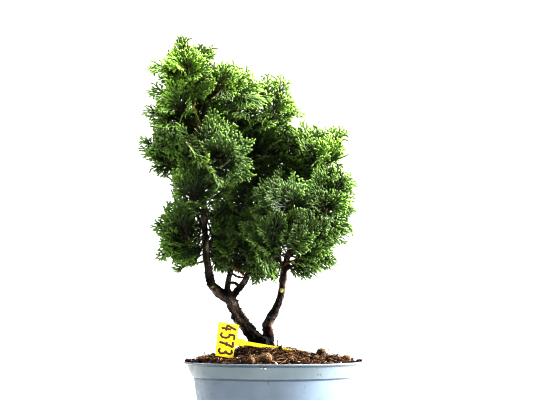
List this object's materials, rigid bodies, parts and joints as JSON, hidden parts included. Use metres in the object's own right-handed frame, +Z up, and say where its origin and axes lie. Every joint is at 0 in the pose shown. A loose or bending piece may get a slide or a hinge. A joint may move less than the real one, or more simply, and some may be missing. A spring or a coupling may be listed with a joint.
{
  "type": "hinoki cypress bonsai",
  "caption": "Young hinoki cypress with rough stems forking low down and fan-shaped scale-leaf sprays, planted in a round plastic nursery pot with peaty soil and a T-shaped plant label.",
  "frame": {"origin": "centre of the pot's base, on the surface that it stands on", "axes": "+Z up along the pot's axis; the front of the tree, where the label stands, faces -Y; +X to the right"},
  "size_m": [0.1902, 0.1496, 0.3948],
  "materials": {
    "pot_plastic": "moulded polypropylene, pale blue-grey, satin, with specks of soil",
    "potting_soil": "damp peat and coir with fibres and white grains, rough",
    "bark": "rough flaking grey-brown bark, orange-brown where young",
    "hinoki_foliage": "waxy scale leaves, dark green with yellow-green tips",
    "baked_clay": "rough baked clay balls, tan",
    "label_plastic": "thin yellow sheet plastic, smooth"
  },
  "bodies": {
    "root": {"clay_ball_edge": "baked_clay", "clay_ball_front": "baked_clay", "clay_ball_right": "baked_clay", "clay_ball_small": "baked_clay", "foliage_front_1": "hinoki_foliage", "foliage_front_2": "hinoki_foliage", "foliage_front_3": "hinoki_foliage", "foliage_front_4": "hinoki_foliage", "foliage_hanging_1": "hinoki_foliage", "foliage_left_1": "hinoki_foliage", "foliage_left_2": "hinoki_foliage", "foliage_left_3": "hinoki_foliage", "foliage_left_back_1": "hinoki_foliage", "foliage_left_back_2": "hinoki_foliage", "foliage_left_back_3": "hinoki_foliage", "foliage_left_low_1": "hinoki_foliage", "foliage_left_low_2": "hinoki_foliage", "foliage_middle_1": "hinoki_foliage", "foliage_middle_2": "hinoki_foliage", "foliage_middle_back_1": "hinoki_foliage", "foliage_middle_back_2": "hinoki_foliage", "foliage_middle_back_3": "hinoki_foliage", "foliage_middle_low_1": "hinoki_foliage", "foliage_middle_low_2": "hinoki_foliage", "foliage_middle_low_3": "hinoki_foliage", "foliage_right_1": "hinoki_foliage", "foliage_right_2": "hinoki_foliage", "foliage_right_3": "hinoki_foliage", "foliage_right_back_1": "hinoki_foliage", "foliage_right_back_2": "hinoki_foliage", "foliage_right_back_3": "hinoki_foliage", "foliage_right_front_1": "hinoki_foliage", "foliage_right_front_2": "hinoki_foliage", "foliage_right_front_3": "hinoki_foliage", "foliage_right_low_1": "hinoki_foliage", "foliage_right_low_2": "hinoki_foliage", "foliage_right_top_1": "hinoki_foliage", "foliage_right_top_2": "hinoki_foliage", "foliage_right_top_3": "hinoki_foliage", "foliage_skirt_left_1": "hinoki_foliage", "foliage_skirt_left_2": "hinoki_foliage", "foliage_skirt_left_3": "hinoki_foliage", "foliage_top_1": "hinoki_foliage", "foliage_top_2": "hinoki_foliage", "foliage_top_3": "hinoki_foliage", "foliage_top_4": "hinoki_foliage", "foliage_upper_back_1": "hinoki_foliage", "foliage_upper_back_2": "hinoki_foliage", "foliage_upper_front_1": "hinoki_foliage", "foliage_upper_front_2": "hinoki_foliage", "foliage_upper_front_3": "hinoki_foliage", "foliage_upper_right_1": "hinoki_foliage", "foliage_upper_right_2": "hinoki_foliage", "foliage_upper_right_3": "hinoki_foliage", "foliage_waist_1": "hinoki_foliage", "plant_label": "label_plastic", "pot": "pot_plastic", "soil": "potting_soil", "trunk_and_branches": "bark"}
  },
  "joints": []
}
